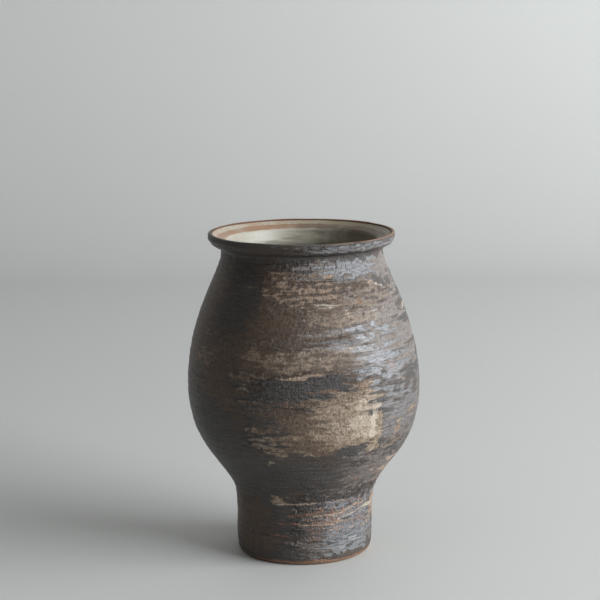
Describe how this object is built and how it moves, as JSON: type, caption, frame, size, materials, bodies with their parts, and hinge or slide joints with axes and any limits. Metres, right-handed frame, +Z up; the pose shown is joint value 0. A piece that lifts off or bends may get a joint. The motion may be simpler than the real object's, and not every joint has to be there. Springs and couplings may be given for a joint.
{
  "type": "footed clay vase",
  "caption": "Footed round-bellied stoneware vase built up in luted clay rings, with a rolled lip and a glazed inside.",
  "frame": {"origin": "middle of the foot, on the surface the vase stands on", "axes": "+Z up along the vase's axis of turning; the vase is round, so X and Y are free"},
  "size_m": [0.1864, 0.1864, 0.26],
  "materials": {
    "slip_clay": "coarse fired clay under brushed graphite-black slip with a satin sheen, buff and brown clay showing through in patches",
    "lining_glaze": "glossy cream to grey-green liner glaze"
  },
  "bodies": {
    "root": {"base_dish": "slip_clay", "foot_wall": "slip_clay", "lower_belly": "slip_clay", "middle_belly": "slip_clay", "shoulder": "slip_clay", "neck_collar": "slip_clay", "rim_lip": "slip_clay", "glaze_lining": "lining_glaze"}
  },
  "joints": []
}
